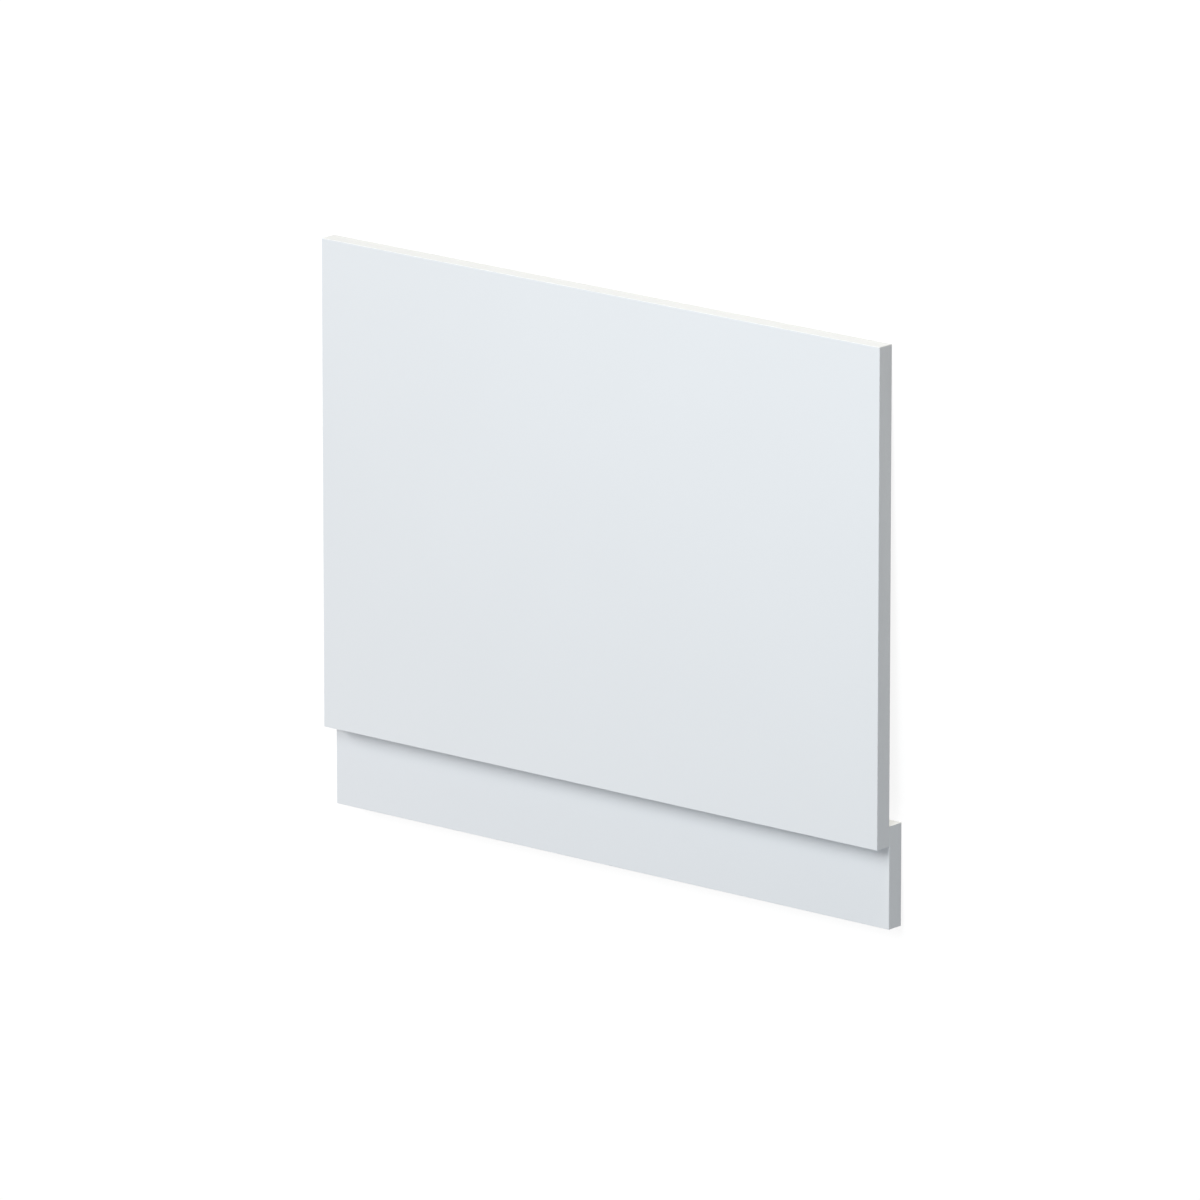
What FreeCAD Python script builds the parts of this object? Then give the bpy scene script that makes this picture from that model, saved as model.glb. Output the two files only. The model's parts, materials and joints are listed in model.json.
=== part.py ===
"""Bath end panel with its plinth: two white boards, the plinth screwed behind the panel's lower edge.

Each board is drawn in the panel's own flat frame, in millimetres: X along the panel, Y up the panel from its
lower edge, Z out of its face from the back of the plinth. Both boards then get one placement, which lays the
pair on a floor with its face up, the way it rests there by itself: on the upper back edge of the plinth and
on the upper back edge of the panel, so that it leans a little.
"""

import FreeCAD, Part
import os
import Sketcher

DRIVING_SIZES = [
    ("panel_width", 680, "length of both boards, along the end of the bath"),
    ("panel_height", 480, "lower to upper edge of the front panel"),
    ("panel_thickness", 18, "board of the front panel"),
    ("plinth_height", 100, "lower to upper edge of the plinth"),
    ("plinth_thickness", 18, "board of the plinth"),
    ("plinth_overlap", 20, "strip of the plinth that lies behind the panel"),
    ("edge_radius", 0.5, "rounding of every edge of both boards"),
    ("screw_count", 3, "screws through the plinth into the panel"),
    ("screw_end_margin", 60, "end of the boards to the nearest screw"),
    ("clearance_diameter", 4.5, "hole for a screw's shank through the plinth"),
    ("sink_diameter", 8.5, "mouth of the countersink for a screw's head"),
    ("sink_angle", 90, "full angle of the countersink, in degrees"),
    ("pilot_diameter", 3, "hole for a screw's thread in the panel"),
    ("pilot_cover", 6, "board left between a screw's tip and the panel's face"),
]

# Places in the flat frame, each a distance along an axis.
PANEL_BACK = {"z": "size.plinth_thickness"}
PLINTH_BACK = {}
PLINTH_FOOT = {"y": "size.plinth_overlap - size.plinth_height"}
FIRST_SCREW = {"x": "size.screw_end_margin - size.panel_width / 2", "y": "size.plinth_overlap / 2"}

# The floor touches the rounded upper back edges of the plinth and of the panel. Both have the same radius, so
# the floor leans from the boards as much as the line between those two edges does.
LEAN = "atan(size.plinth_thickness / (size.panel_height - size.plinth_overlap))"
LEAN_AXIS = FreeCAD.Vector(-1, 0, 0)

# Outermost points of the leaning pair. Each is the centre of a rounded edge, turned by the lean, and then one
# radius further out.
TOP_REACH = (
    f"((size.panel_height - size.edge_radius) * cos({LEAN})"
    f" + (size.plinth_thickness + size.panel_thickness - size.edge_radius) * sin({LEAN}) + size.edge_radius)"
)
FOOT_REACH = (
    f"((size.plinth_overlap - size.plinth_height + size.edge_radius) * cos({LEAN})"
    f" + size.edge_radius * sin({LEAN}) - size.edge_radius)"
)
LOWEST_POINT = (
    f"(size.edge_radius * cos({LEAN})"
    f" - (size.plinth_overlap - size.edge_radius) * sin({LEAN}) - size.edge_radius)"
)


def driving_sheet(doc):
    """A spreadsheet with one named cell for each driving dimension."""
    sheet = doc.addObject("Spreadsheet::Sheet", "size")
    for row, (name, value, meaning) in enumerate(DRIVING_SIZES, start=1):
        sheet.set(f"A{row}", name)
        sheet.set(f"B{row}", str(value))
        sheet.set(f"C{row}", meaning)
        sheet.setAlias(f"B{row}", name)
    doc.recompute()


def flat_sketch(body, name, place):
    """An empty sketch parallel to the boards' faces, with its origin at a place in the flat frame."""
    sketch = body.newObject("Sketcher::SketchObject", name)
    plane = next(feature for feature in body.Origin.OriginFeatures if feature.Role == "XY_Plane")
    sketch.AttachmentSupport = [(plane, "")]
    sketch.MapMode = "FlatFace"
    for axis, distance in place.items():
        sketch.setExpression(f"AttachmentOffset.Base.{axis}", distance)
    return sketch


def bind(sketch, name, constraint, expression):
    """Adds a named dimension that follows the driving sizes."""
    index = sketch.addConstraint(constraint)
    sketch.renameConstraint(index, name)
    sketch.setExpression(f"Constraints.{name}", expression)


def board_outline(sketch, height):
    """A rectangle as long as the panel, standing on the sketch's origin and centred on it."""
    corners = [FreeCAD.Vector(x, y, 0) for x, y in ((-1, 0), (1, 0), (1, 1), (-1, 1))]
    lower, right, upper, left = range(4)
    for start, end in zip(corners, corners[1:] + corners[:1]):
        sketch.addGeometry(Part.LineSegment(start, end))
    for line, following in ((lower, right), (right, upper), (upper, left), (left, lower)):
        sketch.addConstraint(Sketcher.Constraint("Coincident", line, 2, following, 1))
    for line in (lower, upper):
        sketch.addConstraint(Sketcher.Constraint("Horizontal", line))
    for line in (right, left):
        sketch.addConstraint(Sketcher.Constraint("Vertical", line))
    sketch.addConstraint(Sketcher.Constraint("Symmetric", lower, 1, lower, 2, -1, 1))
    bind(sketch, "width", Sketcher.Constraint("DistanceX", lower, 1, lower, 2, 2), "size.panel_width")
    bind(sketch, "height", Sketcher.Constraint("DistanceY", right, 1, right, 2, 1), height)


def board(doc, label, height, thickness, place):
    """A rectangular board with every edge rounded; place is the middle of its lower back edge."""
    body = doc.addObject("PartDesign::Body", label)
    outline = flat_sketch(body, f"{label}_outline", place)
    board_outline(outline, height)
    slab = body.newObject("PartDesign::Pad", f"{label}_slab")
    slab.Profile = outline
    slab.setExpression("Length", thickness)
    doc.recompute()
    rounding = body.newObject("PartDesign::Fillet", f"{label}_rounding")
    rounding.Base = (slab, ["Edge1"])
    rounding.UseAllEdges = True
    rounding.setExpression("Radius", "size.edge_radius")
    doc.recompute()
    return body


def first_hole(doc, body, label, back, diameter):
    """The sketch and the hole of the first screw, drilled from a board's back towards the panel's face."""
    mark = flat_sketch(body, f"{label}_mark", FIRST_SCREW | back)
    mark.addGeometry(Part.Circle(FreeCAD.Vector(0, 0, 0), FreeCAD.Vector(0, 0, 1), 1))
    mark.addConstraint(Sketcher.Constraint("Coincident", 0, 3, -1, 1))
    bind(mark, "diameter", Sketcher.Constraint("Diameter", 0, 2), diameter)
    doc.recompute()
    hole = body.newObject("PartDesign::Hole", f"{label}_hole")
    hole.Profile = mark
    hole.Reversed = True
    hole.ThreadType = "None"
    hole.setExpression("Diameter", diameter)
    return mark, hole


def repeat_along_board(doc, body, label, mark, hole):
    """One hole for each screw, evenly spaced from the first hole to the same margin at the other end."""
    doc.recompute()
    row = body.newObject("PartDesign::LinearPattern", f"{label}_row")
    row.Originals = [hole]
    row.Direction = (mark, ["H_Axis"])
    row.setExpression("Length", "size.panel_width - 2 * size.screw_end_margin")
    row.setExpression("Occurrences", "size.screw_count")
    body.Tip = row
    doc.recompute()


def front_panel(doc):
    """The large board, with blind pilot holes in its back for the plinth's screws."""
    body = board(doc, "front_panel", "size.panel_height", "size.panel_thickness", PANEL_BACK)
    mark, hole = first_hole(doc, body, "pilot", PANEL_BACK, "size.pilot_diameter")
    hole.DepthType = "Dimension"
    hole.DrillPoint = "Flat"
    hole.setExpression("Depth", "size.panel_thickness - size.pilot_cover")
    repeat_along_board(doc, body, "pilot", mark, hole)
    return body


def plinth(doc):
    """The low board behind the panel, with countersunk holes that open on its back."""
    body = board(doc, "plinth", "size.plinth_height", "size.plinth_thickness", PLINTH_FOOT)
    mark, hole = first_hole(doc, body, "clearance", PLINTH_BACK, "size.clearance_diameter")
    hole.DepthType = "ThroughAll"
    hole.HoleCutType = "Countersink"
    hole.HoleCutCustomValues = True
    hole.setExpression("HoleCutDiameter", "size.sink_diameter")
    hole.setExpression("HoleCutCountersinkAngle", "size.sink_angle")
    repeat_along_board(doc, body, "clearance", mark, hole)
    return body


def lay_on_floor(body):
    """Leans a board as the pair rests, with the origin on the floor below the middle of the pair."""
    body.Placement = FreeCAD.Placement(FreeCAD.Vector(0, 0, 0), FreeCAD.Rotation(LEAN_AXIS, 1))
    body.setExpression("Placement.Rotation.Angle", LEAN)
    body.setExpression("Placement.Base.y", f"-({TOP_REACH} + {FOOT_REACH}) / 2")
    body.setExpression("Placement.Base.z", f"-{LOWEST_POINT}")


def check(doc, bodies):
    """Stops if any object failed, if a board isn't one sound solid, or if its holes weren't cut."""
    for item in doc.Objects:
        if {"Invalid", "Error"} & set(item.State):
            raise RuntimeError(f"{item.Label} failed: {item.State}")
    for body in bodies:
        shape = body.Shape
        if shape.isNull() or not shape.isValid() or len(shape.Solids) != 1:
            raise RuntimeError(f"{body.Label} is not one sound solid")
        uncut = next(item for item in body.Group if item.TypeId == "PartDesign::Fillet").Shape
        if shape.Volume >= uncut.Volume:
            raise RuntimeError(f"{body.Label} has no screw holes")


def main():
    doc = FreeCAD.newDocument("bath_end_panel")
    driving_sheet(doc)
    bodies = [front_panel(doc), plinth(doc)]
    for body in bodies:
        lay_on_floor(body)
    doc.recompute()
    check(doc, bodies)
    os.makedirs("parts", exist_ok=True)
    for body in bodies:
        body.Shape.exportStep(f"parts/{body.Label}.step")
        box = body.Shape.BoundBox
        print(f"{body.Label}: {body.Shape.Volume:.1f} mm3, x {box.XMin:.3f} to {box.XMax:.3f},"
              f" y {box.YMin:.3f} to {box.YMax:.3f}, z {box.ZMin:.3f} to {box.ZMax:.3f}")


main()
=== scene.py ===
# %% [markdown]
# # A bath end panel with its plinth
# The end of a bath is closed by two white boards. A large front panel hangs below the bath's rim, and a
# low plinth, set back behind the panel's lower edge, fills the gap down to the floor. The boards come
# ready from the imported model, at their real size, in metres. They lie face up on a floor. This lesson
# gives them their finish, adds the screws that hold them together and sets up the camera and the lamps.

# %% Load the imported boards
import json
import math

import bmesh
import bpy
from mathutils import Matrix, Vector


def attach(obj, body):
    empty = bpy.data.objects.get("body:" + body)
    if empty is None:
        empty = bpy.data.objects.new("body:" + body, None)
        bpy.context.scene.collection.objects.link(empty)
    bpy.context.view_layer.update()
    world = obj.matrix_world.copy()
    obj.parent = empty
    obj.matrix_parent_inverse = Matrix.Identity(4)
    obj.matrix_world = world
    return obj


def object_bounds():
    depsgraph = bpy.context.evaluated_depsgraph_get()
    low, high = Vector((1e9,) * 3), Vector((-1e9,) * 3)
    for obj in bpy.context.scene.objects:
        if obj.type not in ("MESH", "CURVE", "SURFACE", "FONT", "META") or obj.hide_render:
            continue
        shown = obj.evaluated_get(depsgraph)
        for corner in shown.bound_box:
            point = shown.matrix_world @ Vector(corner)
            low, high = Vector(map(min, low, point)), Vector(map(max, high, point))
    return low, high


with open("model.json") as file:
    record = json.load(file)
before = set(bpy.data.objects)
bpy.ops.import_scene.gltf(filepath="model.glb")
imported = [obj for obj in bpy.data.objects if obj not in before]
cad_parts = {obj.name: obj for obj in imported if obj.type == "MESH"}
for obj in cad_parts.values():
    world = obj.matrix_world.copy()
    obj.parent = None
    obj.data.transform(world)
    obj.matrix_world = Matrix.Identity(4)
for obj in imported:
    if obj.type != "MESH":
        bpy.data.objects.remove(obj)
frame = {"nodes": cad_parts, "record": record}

MM = 0.001
cad_low, cad_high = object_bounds()
bpy.context.scene.view_settings.view_transform = "Standard"
bpy.ops.object.select_all(action="DESELECT")
print("boards:", sorted(frame["nodes"]), "box in mm:", [round(side / MM, 1) for side in cad_high - cad_low])

# %% [markdown]
# ## The panel's own directions
# The pair rests on two edges of its back, so its face isn't quite level. Everything that belongs to the
# panel is easier to think of in the panel's own directions: along it, up it from its lower edge, and out
# of its face from the back of the plinth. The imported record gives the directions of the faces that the
# panel is fixed by, so they are read from there, and the boards' points then give the sizes.

# %% Measure the boards in their own directions
mounts = {mount["name"]: mount for mount in frame["record"]["mounts"]}
along_panel = Vector((1, 0, 0))
up_panel = Vector(mounts["top_edge"]["axis"])
out_of_face = -Vector(mounts["plinth_back"]["axis"])


def reach(node, direction):
    """The lowest and highest distance of a board's points along a direction."""
    distances = [point.co.dot(direction) for point in frame["nodes"][node].data.vertices]
    return min(distances), max(distances)


panel_foot, panel_top = reach("front_panel", up_panel)
plinth_foot, plinth_top = reach("plinth", up_panel)
panel_back, panel_face = reach("front_panel", out_of_face)
plinth_back, plinth_face = reach("plinth", out_of_face)

panel_origin = panel_foot * up_panel + plinth_back * out_of_face
panel_turn = Matrix((along_panel, up_panel, out_of_face)).transposed()
from_panel = Matrix.Translation(panel_origin) @ panel_turn.to_4x4()

panel_height = panel_top - panel_foot
face_depth = panel_face - plinth_back
overlap = plinth_top - panel_foot
print(f"panel {panel_height / MM:.1f} mm high, plinth behind {overlap / MM:.1f} mm of it,"
      f" face {face_depth / MM:.1f} mm from the back")

# %% [markdown]
# ## Colours and nodes
# Colours are picked as they look on a screen, as sRGB hex values, and Blender's shaders work with linear
# light, so one function turns the first into the second. A second one adds a shader node with its
# settings and links. A Mix node has a set of sockets for each kind of value, and the sets share their
# names, so these sockets are found by number.

# %% Helpers for colours and nodes
COLOUR_A, COLOUR_B, MIXED_COLOUR = 6, 7, 2
AMOUNT_A, AMOUNT_B, MIXED_AMOUNT = 2, 3, 0


def linear(hex_colour):
    """A screen colour such as "E8EDF1" as linear red, green, blue and alpha, by the sRGB curve."""
    screen = [int(hex_colour[i:i + 2], 16) / 255 for i in (0, 2, 4)]
    return [c / 12.92 if c <= 0.04045 else ((c + 0.055) / 1.055) ** 2.4 for c in screen] + [1.0]


def add_node(tree, kind, settings=None, inputs=None):
    """Adds a node. An input is a plain value, or the output of another node, which is then linked."""
    node = tree.nodes.new(kind)
    for name, value in (settings or {}).items():
        setattr(node, name, value)
    for name, value in (inputs or {}).items():
        if isinstance(value, bpy.types.NodeSocket):
            tree.links.new(value, node.inputs[name])
        else:
            node.inputs[name].default_value = value
    return node


def new_material(name):
    """An empty material and its tree of nodes."""
    material = bpy.data.materials.new(name)
    material.use_nodes = True
    material.node_tree.nodes.clear()
    return material, material.node_tree


print("a screen grey of 808080 in linear light:", [round(c, 3) for c in linear("808080")])

# %% [markdown]
# ## The finish of the boards
# The boards are medium density fibreboard. A white foil covers the face and is wrapped round the edges,
# and a plain white paper on the back keeps the board from bowing. Where a screw goes through, the brown
# fibre shows. The three could be three materials on three sets of faces. Here each board is one piece of
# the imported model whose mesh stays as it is, so they are one shader, mixed by place. It has to know where
# the screws are.

# %% Screw places
SCREW_COUNT = 3
SCREW_END_MARGIN = 60 * MM

panel_width = cad_high.x - cad_low.x
screw_spacing = (panel_width - 2 * SCREW_END_MARGIN) / (SCREW_COUNT - 1)
screw_height = overlap / 2
screw_places = [(i - (SCREW_COUNT - 1) / 2) * screw_spacing for i in range(SCREW_COUNT)]
print("screws at", [round(x / MM) for x in screw_places], "mm along,",
      round(screw_height / MM, 1), "mm up the panel")

# %% [markdown]
# A pattern has a real size, so it is drawn in millimetres. The boards lean a little, and their place is
# in their meshes, so a Mapping node turns the Object coordinates to the board's own directions. They then
# count along the board from its middle, up it from its lower edge and out from its back.

# %% Millimetres on a board


def board_in_mm(tree, foot, back):
    """Coordinates on a board whose lower edge and back are at the distances foot and back."""
    place = add_node(tree, "ShaderNodeTexCoord")
    corner = foot * up_panel + back * out_of_face
    return add_node(tree, "ShaderNodeMapping", {"vector_type": "TEXTURE"}, {
        "Vector": place.outputs["Object"], "Location": corner,
        "Rotation": panel_turn.to_euler(), "Scale": (MM, MM, MM)}).outputs["Vector"]


print("the boards lean by", round(math.degrees(panel_turn.to_euler().x), 2), "degrees")

# %% [markdown]
# ### The foil
# The foil is a thin white skin that is glued on under heat and pressure. Its gloss is satin, so a lamp
# shows in it only as a wide, soft brightening. Its tone drifts by a shade over the board, and its gloss
# over a few fingers' width. Pressing leaves a fine, soft unevenness, as an orange has, which shows where
# light glances off it. The real one is finer than a pixel of the picture, so it is drawn as coarse as it
# needs to show.

# %% White foil, glued on under heat and pressure
FOIL, FOIL_SHADE = "E8EDF1", "E6EBEF"
FOIL_ROUGH, FOIL_ROUGHER = 0.40, 0.48
TONE_MM, TONE_DETAIL = 160, 2
SHEEN_MM, SHEEN_DETAIL = 30, 3
PEEL_MM, PEEL_DETAIL = 1.6, 1


def white_foil(tree, in_mm):
    """The foil's colour, roughness and relief."""
    tone = add_node(tree, "ShaderNodeTexNoise", None, {
        "Vector": in_mm, "Scale": 1 / TONE_MM, "Detail": TONE_DETAIL})
    colour = add_node(tree, "ShaderNodeMix", {"data_type": "RGBA"}, {
        "Factor": tone.outputs["Fac"], COLOUR_A: linear(FOIL), COLOUR_B: linear(FOIL_SHADE)})
    sheen = add_node(tree, "ShaderNodeTexNoise", None, {
        "Vector": in_mm, "Scale": 1 / SHEEN_MM, "Detail": SHEEN_DETAIL})
    rough = add_node(tree, "ShaderNodeMapRange", None, {
        "Value": sheen.outputs["Fac"], "To Min": FOIL_ROUGH, "To Max": FOIL_ROUGHER})
    peel = add_node(tree, "ShaderNodeTexNoise", None, {
        "Vector": in_mm, "Scale": 1 / PEEL_MM, "Detail": PEEL_DETAIL})
    return colour.outputs[MIXED_COLOUR], rough.outputs["Result"], peel.outputs["Fac"]


print("foil from", FOIL, "to", FOIL_SHADE, "in linear light:", [round(c, 3) for c in linear(FOIL)])

# %% [markdown]
# ### The backing paper and the fibre
# The paper on the back is duller than the foil and a little greyer, with a fine grain. The fibre inside a
# drilled hole is brown, quite matt and mottled with darker strands.

# %% Backing paper, and fibre bared by a drill
BACKING, BACKING_SHADE, PAPER_ROUGH = "E4E7E8", "DEE2E3", 0.62
PAPER_MM, PAPER_DETAIL = 0.7, 4
FIBRE, FIBRE_DARK, FIBRE_ROUGH = "B08C62", "8E6C47", 0.9
FIBRE_MM, FIBRE_DETAIL = 0.5, 5


def backing_paper(tree, in_mm):
    """The paper's colour and relief."""
    grain = add_node(tree, "ShaderNodeTexNoise", None, {
        "Vector": in_mm, "Scale": 1 / PAPER_MM, "Detail": PAPER_DETAIL})
    colour = add_node(tree, "ShaderNodeMix", {"data_type": "RGBA"}, {
        "Factor": grain.outputs["Fac"], COLOUR_A: linear(BACKING), COLOUR_B: linear(BACKING_SHADE)})
    return colour.outputs[MIXED_COLOUR], grain.outputs["Fac"]


def bare_fibre(tree, in_mm):
    """The fibre's colour."""
    strands = add_node(tree, "ShaderNodeTexNoise", None, {
        "Vector": in_mm, "Scale": 1 / FIBRE_MM, "Detail": FIBRE_DETAIL})
    colour = add_node(tree, "ShaderNodeMix", {"data_type": "RGBA"}, {
        "Factor": strands.outputs["Fac"], COLOUR_A: linear(FIBRE), COLOUR_B: linear(FIBRE_DARK)})
    return colour.outputs[MIXED_COLOUR]


print("paper grain", PAPER_MM, "mm, fibre strands", FIBRE_MM, "mm")

# %% [markdown]
# ### Where the paper and the fibre show
# Two masks say where. The paper starts where the wrapped foil ends, just round the edge of the back. The
# fibre shows within the radius and depth of a screw hole. The holes are evenly spaced, so the distance
# along the board is wrapped at their spacing, and one formula finds them all.

# %% Masks for the back and for the screw holes
WRAP_END_MM = 0.3


def back_mask(tree, axis):
    """One on a board's back, and zero on its wrapped edges and its face."""
    return add_node(tree, "ShaderNodeMapRange", {"interpolation_type": "SMOOTHSTEP"}, {
        "Value": axis.outputs["Z"], "From Min": WRAP_END_MM, "From Max": 2 * WRAP_END_MM,
        "To Min": 1.0, "To Max": 0.0}).outputs["Result"]


def hole_mask(tree, axis, foot, radius, depth):
    """One inside the screw holes of a board whose lower edge is at foot, and zero elsewhere."""
    spacing = screw_spacing / MM
    beside = add_node(tree, "ShaderNodeMath", {"operation": "WRAP"}, {
        0: axis.outputs["X"], 1: -spacing / 2, 2: spacing / 2})
    above = add_node(tree, "ShaderNodeMath", {"operation": "SUBTRACT"}, {
        0: axis.outputs["Y"], 1: (panel_foot + screw_height - foot) / MM})
    across = add_node(tree, "ShaderNodeCombineXYZ", None, {"X": beside.outputs[0], "Y": above.outputs[0]})
    distance = add_node(tree, "ShaderNodeVectorMath", {"operation": "LENGTH"}, {0: across.outputs[0]})
    near_axis = add_node(tree, "ShaderNodeMath", {"operation": "LESS_THAN"}, {
        0: distance.outputs["Value"], 1: radius / MM})
    within_depth = add_node(tree, "ShaderNodeMath", {"operation": "LESS_THAN"}, {
        0: axis.outputs["Z"], 1: depth / MM})
    return add_node(tree, "ShaderNodeMath", {"operation": "MULTIPLY"}, {
        0: near_axis.outputs[0], 1: within_depth.outputs[0]}).outputs[0]


print("paper from", WRAP_END_MM, "mm off the back, holes wrapped every", round(screw_spacing / MM), "mm")

# %% [markdown]
# ### One shader for a board
# The paper is laid over the foil by the first mask, and the fibre over both by the second, for the colour
# and for the roughness. The foil's unevenness and the paper's grain share one faint bump.

# %% Mix the layers
FOIL_IOR = 1.46
RELIEF_STRENGTH, RELIEF_HEIGHT = 0.12, 0.04 * MM


def foil_board(name, foot, back, hole_radius, hole_depth):
    """Foil, paper and fibre for a board whose lower edge and back are at the distances foot and back."""
    material, tree = new_material(name)
    in_mm = board_in_mm(tree, foot, back)
    axis = add_node(tree, "ShaderNodeSeparateXYZ", None, {"Vector": in_mm})
    on_back = back_mask(tree, axis)
    in_hole = hole_mask(tree, axis, foot, hole_radius, hole_depth)
    foil, foil_rough, peel = white_foil(tree, in_mm)
    paper, paper_grain = backing_paper(tree, in_mm)

    covered = add_node(tree, "ShaderNodeMix", {"data_type": "RGBA"}, {
        "Factor": on_back, COLOUR_A: foil, COLOUR_B: paper})
    colour = add_node(tree, "ShaderNodeMix", {"data_type": "RGBA"}, {
        "Factor": in_hole, COLOUR_A: covered.outputs[MIXED_COLOUR], COLOUR_B: bare_fibre(tree, in_mm)})
    covered_rough = add_node(tree, "ShaderNodeMix", {"data_type": "FLOAT"}, {
        "Factor": on_back, AMOUNT_A: foil_rough, AMOUNT_B: PAPER_ROUGH})
    rough = add_node(tree, "ShaderNodeMix", {"data_type": "FLOAT"}, {
        "Factor": in_hole, AMOUNT_A: covered_rough.outputs[MIXED_AMOUNT], AMOUNT_B: FIBRE_ROUGH})
    relief = add_node(tree, "ShaderNodeMix", {"data_type": "FLOAT"}, {
        "Factor": on_back, AMOUNT_A: peel, AMOUNT_B: paper_grain})
    bump = add_node(tree, "ShaderNodeBump", None, {
        "Height": relief.outputs[MIXED_AMOUNT], "Strength": RELIEF_STRENGTH, "Distance": RELIEF_HEIGHT})
    shader = add_node(tree, "ShaderNodeBsdfPrincipled", None, {
        "Base Color": colour.outputs[MIXED_COLOUR], "Roughness": rough.outputs[MIXED_AMOUNT],
        "Normal": bump.outputs["Normal"], "IOR": FOIL_IOR})
    add_node(tree, "ShaderNodeOutputMaterial", None, {"Surface": shader.outputs["BSDF"]})
    return material


print("relief", RELIEF_HEIGHT / MM, "mm high")

# %% [markdown]
# The panel has blind pilot holes for the screws' threads. The plinth's holes go right through it, and the
# mask takes in their countersinks. A small allowance keeps a mask's edge off the wall of its hole.

# %% Give each board its finish
PILOT_RADIUS, PILOT_COVER = 1.5 * MM, 6 * MM
SINK_RADIUS = 4.25 * MM
EDGE_ALLOWANCE = 0.02 * MM

pilot_depth = panel_face - panel_back - PILOT_COVER
plinth_thickness = plinth_face - plinth_back
finishes = {
    "front_panel": foil_board("pressed_white_foil_front_panel", panel_foot, panel_back,
                              PILOT_RADIUS + EDGE_ALLOWANCE, pilot_depth + EDGE_ALLOWANCE),
    "plinth": foil_board("pressed_white_foil_plinth", plinth_foot, plinth_back,
                         SINK_RADIUS + EDGE_ALLOWANCE, plinth_thickness + EDGE_ALLOWANCE),
}
for node, finish in finishes.items():
    board = frame["nodes"][node]
    for slot in board.material_slots:
        slot.material = finish
    print(node, "has", finish.name, "in", len(board.material_slots), "slot")

# %% [markdown]
# ## The screws
# Three countersunk wood screws go through the plinth into the panel. Only their heads show, on the back.
# A real screw is steel wire: its head is pressed cold, its thread is rolled on and a cross is punched
# into its head. It is made in the same order here, on an upright axis that starts at the plinth's back.
# The body could be spun from a profile. Drawing a round cap out step by step, wider or narrower each
# time, is as quick, and the shape stays closed at both ends.

# %% Draw out the head, the shank and the tip
SCREW_SIDES = 48
HEAD_PLAY, HEAD_SINK, HEAD_RIM = 0.05 * MM, 0.3 * MM, 0.12 * MM
SHANK_RADIUS, SHANK_END = 1.45 * MM, 9 * MM
CORE_RADIUS, CORE_END = 1.25 * MM, 24 * MM
TIP_RADIUS, TIP_END, TIP_STEPS, TIP_BULGE = 0.12 * MM, 29.6 * MM, 8, 1.4


def tip_point(share):
    """The depth and radius at a share of the way from the core's end to the point."""
    return (CORE_END + share * (TIP_END - CORE_END),
            CORE_RADIUS - share ** TIP_BULGE * (CORE_RADIUS - TIP_RADIUS))


# Each point is a depth from the plinth's back and a radius. The head's cone follows the countersink, at
# 45 degrees, so its radius shrinks by as much as its depth grows.
cone_radius = SINK_RADIUS - HEAD_PLAY
rim_depth = HEAD_SINK + HEAD_RIM
tip = [tip_point(step / TIP_STEPS) for step in range(TIP_STEPS + 1)]
outline = [
    (HEAD_SINK, cone_radius - rim_depth - HEAD_RIM),
    (rim_depth, cone_radius - rim_depth),
    (cone_radius - SHANK_RADIUS, SHANK_RADIUS),
    (SHANK_END, SHANK_RADIUS),
    (SHANK_END + SHANK_RADIUS - CORE_RADIUS, CORE_RADIUS),
    *tip,
]

first_depth, first_radius = outline[0]
bpy.ops.object.select_all(action="DESELECT")
bpy.ops.mesh.primitive_circle_add(
    vertices=SCREW_SIDES, radius=first_radius, fill_type="NGON", location=(0, 0, first_depth))
screw = bpy.context.object
screw.name = "screw"
bpy.ops.object.transform_apply(location=True)
bpy.ops.object.mode_set(mode="EDIT")
for (start, radius), (end, new_radius) in zip(outline, outline[1:]):
    bpy.ops.mesh.extrude_region_move(TRANSFORM_OT_translate={"value": (0, 0, end - start)})
    scale = new_radius / radius
    bpy.ops.transform.resize(value=(scale, scale, 1), center_override=(0, 0, end))
bpy.ops.object.mode_set(mode="OBJECT")
print("screw body in mm:", [round(side / MM, 2) for side in screw.dimensions])

# %% [markdown]
# A change to a mesh can leave points that lie together and faces that look inwards. A short helper cleans
# it up, as one would by hand, and counts the edges that aren't closed.

# %% A helper to mend a mesh
MERGE = 0.002 * MM


def mend(piece):
    """Merges points that lie together, turns the faces outwards and counts the edges that aren't closed."""
    bpy.ops.object.select_all(action="DESELECT")
    piece.select_set(True)
    bpy.context.view_layer.objects.active = piece
    bpy.ops.object.mode_set(mode="EDIT")
    bpy.ops.mesh.select_all(action="SELECT")
    bpy.ops.mesh.remove_doubles(threshold=MERGE)
    bpy.ops.mesh.dissolve_degenerate(threshold=MERGE)
    bpy.ops.mesh.normals_make_consistent(inside=False)
    bpy.ops.object.mode_set(mode="OBJECT")
    mesh = bmesh.new()
    mesh.from_mesh(piece.data)
    loose = sum(len(edge.link_faces) != 2 for edge in mesh.edges)
    print(piece.name, "has", len(mesh.faces), "faces,", loose, "edges not closed,",
          round(mesh.calc_volume() / MM ** 3, 1), "mm3")
    mesh.free()


mend(screw)

# %% [markdown]
# The thread is a triangle that climbs round the shank. It could be a curve with a bevel, but a Screw
# modifier winds the triangle in one go, with an even pitch.

# %% Wind the thread
PITCH, TURNS, TURN_STEPS = 1.8 * MM, 10, 24
CREST_RADIUS, ROOT_RADIUS, THREAD_START = 2 * MM, 1.1 * MM, 10.3 * MM
TRIANGLE_SIDES = 3
QUARTER_TURN = math.pi / 2

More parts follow.
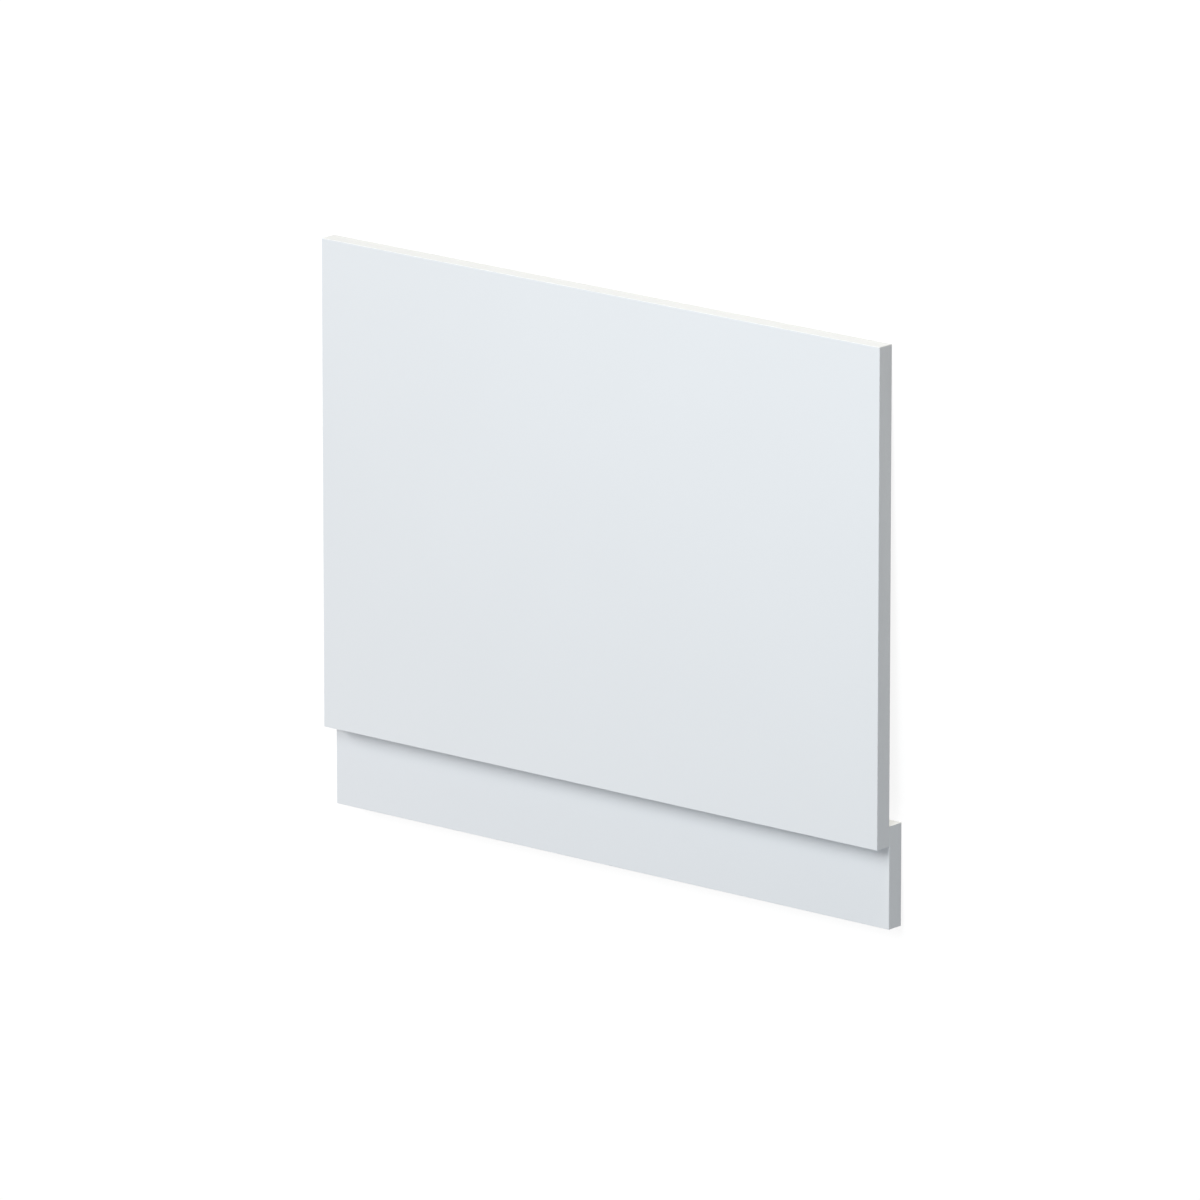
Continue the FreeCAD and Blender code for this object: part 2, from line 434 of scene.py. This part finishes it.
# The corners of a triangle lie twice as far from its middle as its sides do.
triangle = (CREST_RADIUS - ROOT_RADIUS) * 2 / 3
bpy.ops.object.select_all(action="DESELECT")
bpy.ops.mesh.primitive_circle_add(
    vertices=TRIANGLE_SIDES, radius=triangle, location=(CREST_RADIUS - triangle, 0, THREAD_START),
    rotation=(QUARTER_TURN, QUARTER_TURN, 0))
thread = bpy.context.object
thread.name = "thread"
bpy.ops.object.transform_apply(location=True, rotation=True)
bpy.ops.object.modifier_add(type="SCREW")
winding = thread.modifiers[-1]
winding.axis = "Z"
winding.screw_offset = PITCH
winding.iterations = TURNS
winding.steps = TURN_STEPS
winding.render_steps = TURN_STEPS
bpy.ops.object.modifier_apply(modifier=winding.name)
bpy.ops.object.mode_set(mode="EDIT")
bpy.ops.mesh.select_all(action="SELECT")
bpy.ops.mesh.fill_holes(sides=TRIANGLE_SIDES)
bpy.ops.object.mode_set(mode="OBJECT")
mend(thread)

# %% [markdown]
# Both ends of the thread are now fitted to the body. Its last turns are squeezed step by step as the tip
# was: each squeeze takes in everything from one step onwards, so they add up to the tip's own curve and the
# thread runs out on the point. Its first turn is squeezed too, so that it rises out of the core.

# %% Run the thread out at both ends
RUN_IN_STEPS, RUN_IN_SHRINK = 6, 0.93
# The triangle's lower corner lies about this far below the thread's start.
RUN_IN_LEAD = PITCH / 3


def squeeze(piece, low, high, scale):
    """Brings the points between two depths nearer to the axis."""
    bpy.ops.object.mode_set(mode="EDIT")
    bpy.ops.mesh.select_mode(type="VERT")
    bpy.ops.mesh.select_all(action="DESELECT")
    bpy.ops.object.mode_set(mode="OBJECT")
    for point in piece.data.vertices:
        point.select = low < point.co.z < high
    bpy.ops.object.mode_set(mode="EDIT")
    bpy.ops.transform.resize(value=(scale, scale, 1), center_override=(0, 0, 0))
    bpy.ops.object.mode_set(mode="OBJECT")


for (start, radius), (end, new_radius) in zip(tip, tip[1:]):
    squeeze(thread, (start + end) / 2, TIP_END + PITCH, new_radius / radius)
for step in range(RUN_IN_STEPS):
    squeeze(thread, 0, THREAD_START + (step + 1) * PITCH / RUN_IN_STEPS - RUN_IN_LEAD, RUN_IN_SHRINK)
print("thread from", round(min(point.co.z for point in thread.data.vertices) / MM, 1), "to",
      round(max(point.co.z for point in thread.data.vertices) / MM, 1), "mm deep")

# %% [markdown]
# A Boolean modifier joins the thread and the body to one shape, and will cut the cross out of the head. It
# works on several processor cores at once and leaves points and faces in a new order each time, so they are
# put in a fixed order, and the screw comes out the same in every run.

# %% Join the thread to the body


def put_in_order(piece):
    """Sorts a mesh's points by place, and its faces by their points."""
    places = [tuple(point.co) for point in piece.data.vertices]
    points = sorted(set(places))
    number = {place: i for i, place in enumerate(points)}
    faces = []
    for face in piece.data.polygons:
        # Points at the same place are one point now, and a face names it once.
        ring = list(dict.fromkeys(number[places[i]] for i in face.vertices))
        first = ring.index(min(ring))
        faces.append(ring[first:] + ring[:first])
    piece.data.clear_geometry()
    piece.data.from_pydata(points, [], sorted(faces))


def combine(piece, tool, operation):
    """Adds a tool's shape to a piece or takes it away, and deletes the tool."""
    bpy.context.view_layer.objects.active = piece
    bpy.ops.object.modifier_add(type="BOOLEAN")
    change = piece.modifiers[-1]
    change.operation = operation
    change.solver = "EXACT"
    change.object = tool
    bpy.ops.object.modifier_apply(modifier=change.name)
    bpy.data.objects.remove(tool)
    put_in_order(piece)
    mend(piece)


combine(screw, thread, "UNION")

# %% [markdown]
# The driver's cross is cut with a shape of the same form as the punch that makes the real one: a square
# bar with four arms, which gets narrower towards the bottom.

# %% Punch the cross into the head
ARM_WIDTH, ARM_REACH, CROSS_DEPTH, CROSS_TAPER = 1.15 * MM, 2.3 * MM, 2.6 * MM, 0.45
# A face looks along the axis if its normal has more than the first share that way, and to the side if it has
# less than the second.
ALONG_AXIS, TO_THE_SIDE = 0.9, 0.1
SMOOTH_BELOW = math.radians(35)


def pick_faces(piece, wanted):
    """Selects the faces that a test picks, and leaves the piece in edit mode."""
    bpy.ops.object.mode_set(mode="EDIT")
    bpy.ops.mesh.select_mode(type="FACE")
    bpy.ops.mesh.select_all(action="DESELECT")
    bpy.ops.object.mode_set(mode="OBJECT")
    for face in piece.data.polygons:
        face.select = wanted(face)
    bpy.ops.object.mode_set(mode="EDIT")


cross_bottom = HEAD_SINK + CROSS_DEPTH
bpy.ops.object.select_all(action="DESELECT")
bpy.ops.mesh.primitive_cube_add(size=ARM_WIDTH, location=(0, 0, cross_bottom - ARM_WIDTH / 2))
punch = bpy.context.object
punch.name = "punch"
bpy.ops.object.transform_apply(location=True)
pick_faces(punch, lambda face: face.normal.z < -ALONG_AXIS)
bpy.ops.transform.translate(value=(0, 0, ARM_WIDTH - cross_bottom - HEAD_SINK))
pick_faces(punch, lambda face: abs(face.normal.z) < TO_THE_SIDE)
bpy.ops.mesh.extrude_faces_move(TRANSFORM_OT_shrink_fatten={"value": ARM_REACH - ARM_WIDTH / 2})
pick_faces(punch, lambda face: face.normal.z > ALONG_AXIS)
bpy.ops.transform.resize(value=(CROSS_TAPER, CROSS_TAPER, 1), center_override=(0, 0, cross_bottom))
bpy.ops.object.mode_set(mode="OBJECT")
mend(punch)
combine(screw, punch, "DIFFERENCE")
bpy.ops.object.shade_smooth_by_angle(angle=SMOOTH_BELOW)

# %% [markdown]
# A screw like this gets a few thousandths of a millimetre of zinc in a plating bath, and the zinc is left
# bright. It is a cool grey metal with soft reflections and a faint cloudiness where the coat is thicker.
# The bath's grit is far finer than it could show, so it is drawn as coarse as a close look needs.

# %% Zinc plated on rolled steel
ZINC, ZINC_CLOUD = "C9CDD1", "B1B7BD"
ZINC_ROUGH, ZINC_ROUGHER = 0.24, 0.42
CLOUD_MM, CLOUD_DETAIL = 1.4, 3
GRIT_MM, GRIT_DETAIL = 0.12, 2
GRIT_STRENGTH, GRIT_HEIGHT = 0.2, 0.01 * MM

zinc_plate, tree = new_material("bright_zinc_plated_steel")
place = add_node(tree, "ShaderNodeTexCoord")
in_mm = add_node(tree, "ShaderNodeMapping", {"vector_type": "TEXTURE"}, {
    "Vector": place.outputs["Object"], "Scale": (MM, MM, MM)}).outputs["Vector"]
cloud = add_node(tree, "ShaderNodeTexNoise", None, {
    "Vector": in_mm, "Scale": 1 / CLOUD_MM, "Detail": CLOUD_DETAIL})
tone = add_node(tree, "ShaderNodeMix", {"data_type": "RGBA"}, {
    "Factor": cloud.outputs["Fac"], COLOUR_A: linear(ZINC), COLOUR_B: linear(ZINC_CLOUD)})
gloss = add_node(tree, "ShaderNodeMapRange", None, {
    "Value": cloud.outputs["Fac"], "To Min": ZINC_ROUGH, "To Max": ZINC_ROUGHER})
grit = add_node(tree, "ShaderNodeTexNoise", None, {
    "Vector": in_mm, "Scale": 1 / GRIT_MM, "Detail": GRIT_DETAIL})
relief = add_node(tree, "ShaderNodeBump", None, {
    "Height": grit.outputs["Fac"], "Strength": GRIT_STRENGTH, "Distance": GRIT_HEIGHT})
plate = add_node(tree, "ShaderNodeBsdfPrincipled", None, {
    "Base Color": tone.outputs[MIXED_COLOUR], "Metallic": 1.0, "Roughness": gloss.outputs["Result"],
    "Normal": relief.outputs["Normal"]})
add_node(tree, "ShaderNodeOutputMaterial", None, {"Surface": plate.outputs["BSDF"]})
screw.data.materials.clear()
screw.data.materials.append(zinc_plate)
print("screw has", zinc_plate.name)

# %% [markdown]
# Each hole gets a copy of the screw with its own mesh, turned to the panel's directions. A driven screw
# stops at any angle, so each cross is turned its own way. The place then goes into the mesh, as it does
# on the boards.

# %% Drive a copy into each hole
# How far each screw's cross is turned, in degrees.
SCREWS = {"screw_left": 17, "screw_middle": 68, "screw_right": 41}

for (name, turn), along in zip(SCREWS.items(), screw_places):
    bpy.ops.object.select_all(action="DESELECT")
    screw.select_set(True)
    bpy.context.view_layer.objects.active = screw
    bpy.ops.object.duplicate(linked=False)
    driven = bpy.context.object
    driven.name = name
    driven.matrix_world = (from_panel @ Matrix.Translation((along, screw_height, 0))
                           @ Matrix.Rotation(math.radians(turn), 4, "Z"))
    bpy.ops.object.transform_apply(location=True, rotation=True, scale=True)
    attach(driven, "root")
    print(name, "at", [round(c / MM, 1) for c in from_panel @ Vector((along, screw_height, 0))], "mm")
bpy.data.objects.remove(screw)

# %% [markdown]
# ## The camera
# The picture looks down on the lying panel, turned towards its right end and raised towards its top edge,
# from far away through a long lens, so that the edges of the boards run almost parallel. The panel's own
# up is up in the picture.

# %% Place the camera
CAMERA_TURN = math.radians(40.047)
CAMERA_RISE = math.radians(14.770)
CAMERA_DISTANCE = 13.138
AIM_ALONG, AIM_UP = 4.7 * MM, 183.6 * MM
LENS_MM = 420.3

forward = Vector((
    -math.sin(CAMERA_TURN) * math.cos(CAMERA_RISE),
    -math.sin(CAMERA_RISE),
    -math.cos(CAMERA_TURN) * math.cos(CAMERA_RISE),
))
right = Vector((math.cos(CAMERA_TURN), 0, -math.sin(CAMERA_TURN)))
picture_up = right.cross(forward)
camera_turn = panel_turn @ Matrix((right, picture_up, -forward)).transposed()
camera_place = from_panel @ (Vector((AIM_ALONG, AIM_UP, face_depth)) - CAMERA_DISTANCE * forward)
bpy.ops.object.camera_add(location=camera_place, rotation=camera_turn.to_euler())
camera = bpy.context.object
camera.data.lens = LENS_MM
bpy.context.scene.camera = camera
print("camera at", [round(c, 3) for c in camera.location], "m")

# %% [markdown]
# ## The floor
# The floor is plain matt paper, as in a photo studio, and it has two jobs. To the eye it is white and keeps
# the object's shadow. To the boards it is grey: only a third of the light that falls on it goes back to
# them, so that their ends stay darker than the face.

# %% Lay the floor
FLOOR_SIZE = 80

bpy.ops.mesh.primitive_plane_add(size=FLOOR_SIZE, location=(0, 0, 0))
floor = bpy.context.object
floor.name = "floor"
paper_floor, tree = new_material("matt_studio_paper")
floor.data.materials.append(paper_floor)
print("floor", FLOOR_SIZE, "m wide")

# %% [markdown]
# The paper's white is a glow, and a grey adds the light that falls on it, which is less in the shadow. The
# glow fades out under the leaning panel, where hardly any light gets in from the open ends: a painted
# shadow, drawn by place. It is full beyond the reach of the shadow, where the lamps hardly reach either.

# %% Fade the floor's white under the panel
FLOOR_GLOW = 0.89
PAINTED_SHADOW_UNDER_PANEL = 0.1
LIGHT_GETS_IN = 90 * MM
LIT_RIM = 14 * MM
SHADOW_REACH = 1.0

panel_end = cad_high.x
place = add_node(tree, "ShaderNodeTexCoord")
axis = add_node(tree, "ShaderNodeSeparateXYZ", None, {"Vector": place.outputs["Object"]})
from_middle = add_node(tree, "ShaderNodeMath", {"operation": "ABSOLUTE"}, {0: axis.outputs["X"]})
towards_end = add_node(tree, "ShaderNodeMapRange", {"interpolation_type": "SMOOTHSTEP"}, {
    "Value": from_middle.outputs[0], "From Min": panel_end - LIGHT_GETS_IN, "From Max": panel_end - LIT_RIM,
    "To Min": 1.0, "To Max": 0.0})
below_top = add_node(tree, "ShaderNodeMath", {"operation": "LESS_THAN"}, {
    0: axis.outputs["Y"], 1: cad_high.y - LIT_RIM})
above_foot = add_node(tree, "ShaderNodeMath", {"operation": "GREATER_THAN"}, {
    0: axis.outputs["Y"], 1: cad_low.y + LIT_RIM})
between = add_node(tree, "ShaderNodeMath", {"operation": "MULTIPLY"}, {
    0: below_top.outputs[0], 1: above_foot.outputs[0]})
covered = add_node(tree, "ShaderNodeMath", {"operation": "MULTIPLY"}, {
    0: between.outputs[0], 1: towards_end.outputs["Result"]})
from_centre = add_node(tree, "ShaderNodeVectorMath", {"operation": "LENGTH"}, {0: place.outputs["Object"]})
open_floor = add_node(tree, "ShaderNodeMapRange", {"interpolation_type": "SMOOTHSTEP"}, {
    "Value": from_centre.outputs["Value"], "From Min": SHADOW_REACH, "From Max": 2 * SHADOW_REACH,
    "To Min": FLOOR_GLOW, "To Max": 1.0})
# Under the panel the glow is brought down by place: a painted shadow, not one that the lamps cast.
white = add_node(tree, "ShaderNodeMapRange", None, {
    "Value": covered.outputs[0], "To Min": open_floor.outputs["Result"], "To Max": PAINTED_SHADOW_UNDER_PANEL})
print("the floor's white fades over the last", round((LIGHT_GETS_IN - LIT_RIM) / MM), "mm under the panel")

# %% [markdown]
# A Light Path node tells what the eye sees, directly, in a gloss or through glass, from what only lights
# other things. It picks between the floor's two looks here, and between the sky's two looks later.

# %% White to the eye and grey to the boards
FLOOR_SHADOW = "767676"
FLOOR_BOUNCE = "999999"


def seen_by_eye(tree):
    """One for what the eye sees, and zero for what only lights other things."""
    path = add_node(tree, "ShaderNodeLightPath")
    direct_or_gloss = add_node(tree, "ShaderNodeMath", {"operation": "ADD"}, {
        0: path.outputs["Is Camera Ray"], 1: path.outputs["Is Glossy Ray"]})
    return add_node(tree, "ShaderNodeMath", {"operation": "ADD", "use_clamp": True}, {
        0: direct_or_gloss.outputs[0], 1: path.outputs["Is Transmission Ray"]}).outputs[0]


glow = add_node(tree, "ShaderNodeEmission", None, {"Strength": white.outputs["Result"]})
shadow = add_node(tree, "ShaderNodeBsdfDiffuse", None, {"Color": linear(FLOOR_SHADOW)})
to_eye = add_node(tree, "ShaderNodeAddShader", None, {0: glow.outputs[0], 1: shadow.outputs[0]})
to_boards = add_node(tree, "ShaderNodeBsdfDiffuse", None, {"Color": linear(FLOOR_BOUNCE)})
either = add_node(tree, "ShaderNodeMixShader", None, {
    0: seen_by_eye(tree), 1: to_boards.outputs[0], 2: to_eye.outputs[0]})
add_node(tree, "ShaderNodeOutputMaterial", None, {"Surface": either.outputs[0]})
print("the floor gives back", round(linear(FLOOR_BOUNCE)[0], 2), "of its light")

# %% [markdown]
# ## The light
# A pale sky from all round gives the boards' ends their light. It is plain white to the eye and dimmer to
# the boards, for the lamps add the rest.

# %% Light from all round
SKY = 0.315
WHITE = "FFFFFF"

world = bpy.data.worlds.new("pale_sky")
bpy.context.scene.world = world
world.use_nodes = True
tree = world.node_tree
tree.nodes.clear()
to_boards = add_node(tree, "ShaderNodeBackground", None, {"Color": linear(WHITE), "Strength": SKY})
to_eye = add_node(tree, "ShaderNodeBackground", None, {"Color": linear(WHITE), "Strength": 1.0})
either = add_node(tree, "ShaderNodeMixShader", None, {
    0: seen_by_eye(tree), 1: to_boards.outputs[0], 2: to_eye.outputs[0]})
add_node(tree, "ShaderNodeOutputWorld", None, {"Surface": either.outputs[0]})
print("sky at", SKY, "of white")

# %% [markdown]
# Two soft boxes do most of the work, one above the panel and a large one far to the left, both a little
# towards the top edge, so the panel's lower edge throws a soft shadow on the plinth. A low warm strip
# beyond the top edge lights that edge alone, and two small lamps near the floor lift the plinth's left
# corner and the right ends. The last is a tiny lamp with a honeycomb grid on it. Its narrow beam passes
# in under the panel's right end and lights the end of the plinth's own top edge there. Each lamp's power
# is worked out from how bright it makes a white surface that faces it: a share of 1 is white.

# %% Set up the lamps
PANEL_MIDDLE = (0, 0, 0.03)
PLINTH_CORNER = (-0.34, -0.25, 0.02)
TOP_EDGE = (0.1, 0.28, 0.01)
RIGHT_ENDS = (0.34, 0, 0.02)
PLINTH_TOP_END = (0.335, -0.18, 0.007)
OPEN, GRID = 180, 3.2

# Where a lamp stands, what it points at and its width and height, all in metres, then how far its light
# spreads, in degrees, its share and its colour.
LAMPS = {
    "soft_box_above": ((0.58, 1.5, 2.3), PANEL_MIDDLE, (1.2, 1.8), OPEN, 0.51, "F8FCFF"),
    "soft_box_left": ((-6.4, 3.6, 4.8), PANEL_MIDDLE, (3.2, 4.2), OPEN, 0.43, "FFFAF7"),
    "corner_fill": ((-0.8, -0.6, 0.25), PLINTH_CORNER, (0.4, 0.3), OPEN, 0.13, "FFEFEF"),
    "top_edge_strip": ((1.6, 6.3, 0.1), TOP_EDGE, (1.2, 0.16), OPEN, 0.41, "FFF0D7"),
    "end_fill": ((1.3, -1.4, 0.1), RIGHT_ENDS, (0.4, 0.12), OPEN, 0.08, "D8E9FF"),
    "grid_beam": ((0.38, 0.8, 0.012), PLINTH_TOP_END, (0.01, 0.01), GRID, 0.48, "FFFCF6"),
}

for name, (place, target, size, spread, share, colour) in LAMPS.items():
    ray = Vector(target) - Vector(place)
    bpy.ops.object.light_add(type="AREA", location=place, rotation=ray.to_track_quat("-Z", "Y").to_euler())
    lamp = bpy.context.object
    lamp.name = name
    lamp.data.shape = "RECTANGLE"
    lamp.data.size, lamp.data.size_y = size
    lamp.data.spread = math.radians(spread)
    lamp.data.color = linear(colour)[:3]
    # A grid gathers a lamp's power in a narrow beam, which needs only this part of an open lamp's power.
    half_spread = math.radians(spread) / 2
    gathered = 1 - half_spread / math.tan(half_spread)
    lamp.data.energy = share * (math.pi * ray.length) ** 2 * gathered
    lamp.visible_camera = False
    print(name, round(lamp.data.energy, 4), "W at", round(ray.length, 2), "m")
